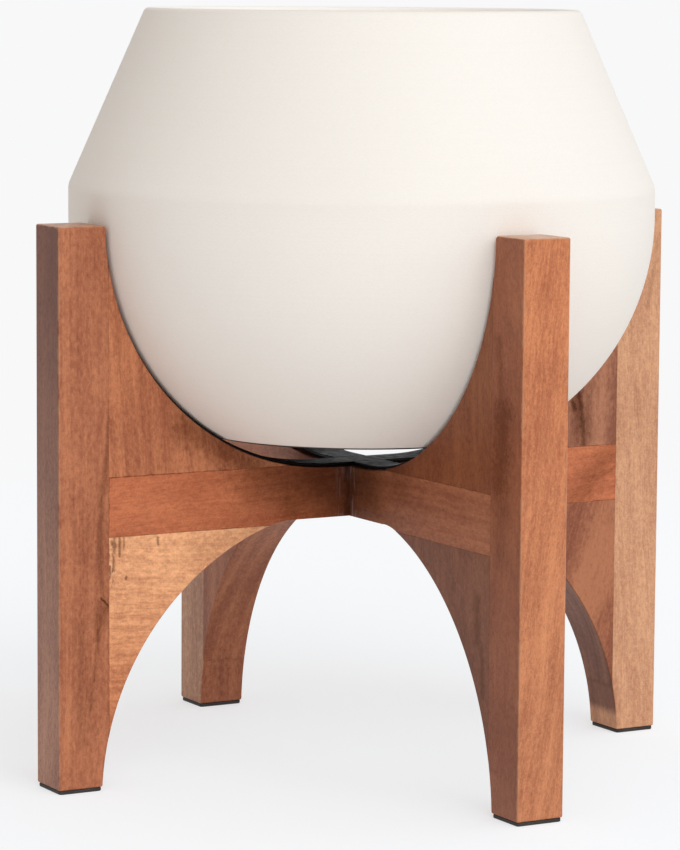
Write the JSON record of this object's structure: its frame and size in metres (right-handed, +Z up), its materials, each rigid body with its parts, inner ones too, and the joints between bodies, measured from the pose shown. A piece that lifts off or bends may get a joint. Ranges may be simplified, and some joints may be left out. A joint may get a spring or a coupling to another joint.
{
  "type": "single plant stand with round pot",
  "caption": "Crossed-board wooden plant stand with curved cradle arms and a lift-out round pot.",
  "frame": {"origin": "centre of the stand on the floor", "axes": "+Z up; +X along the upper cross rail, +Y along the lower cross rail"},
  "size_m": [0.4212, 0.4212, 0.4605],
  "materials": {
    "leg_left": "oiled hardwood, satin",
    "leg_front": "oiled hardwood, satin",
    "leg_right": "oiled hardwood, satin",
    "leg_back": "oiled hardwood, satin",
    "rail_x": "oiled hardwood, satin",
    "rail_y": "oiled hardwood, satin",
    "cradle_left": "oiled hardwood, satin",
    "cradle_front": "oiled hardwood, satin",
    "cradle_right": "oiled hardwood, satin",
    "cradle_back": "oiled hardwood, satin",
    "arch_left": "oiled hardwood, satin",
    "arch_front": "oiled hardwood, satin",
    "arch_right": "oiled hardwood, satin",
    "arch_back": "oiled hardwood, satin",
    "strip_x": "smooth black strip, glossy",
    "strip_front": "smooth black strip, glossy",
    "strip_back": "smooth black strip, glossy",
    "pad_left": "black rubber, matte",
    "pad_front": "black rubber, matte",
    "pad_right": "black rubber, matte",
    "pad_back": "black rubber, matte",
    "rail_dowels": "raw beech",
    "pot": "matte off-white, fine horizontal brushing",
    "drain_plug": "black rubber, matte"
  },
  "bodies": {
    "stand": {"leg_left": "leg_left", "leg_front": "leg_front", "leg_right": "leg_right", "leg_back": "leg_back", "rail_x": "rail_x", "rail_y": "rail_y", "cradle_left": "cradle_left", "cradle_front": "cradle_front", "cradle_right": "cradle_right", "cradle_back": "cradle_back", "arch_left": "arch_left", "arch_front": "arch_front", "arch_right": "arch_right", "arch_back": "arch_back", "strip_x": "strip_x", "strip_front": "strip_front", "strip_back": "strip_back", "pad_left": "pad_left", "pad_front": "pad_front", "pad_right": "pad_right", "pad_back": "pad_back", "rail_dowels": "rail_dowels"},
    "pot": {"pot": "pot"},
    "plug": {"drain_plug": "drain_plug"}
  },
  "joints": [
    {"name": "pot_lift", "type": "slide", "parent": "stand", "child": "pot", "axis": [0, 0, 1], "range_m": [0, 0.17]},
    {"name": "plug_pull", "type": "slide", "parent": "pot", "child": "plug", "axis": [0, 0, 1], "range_m": [0, 0.06]}
  ]
}
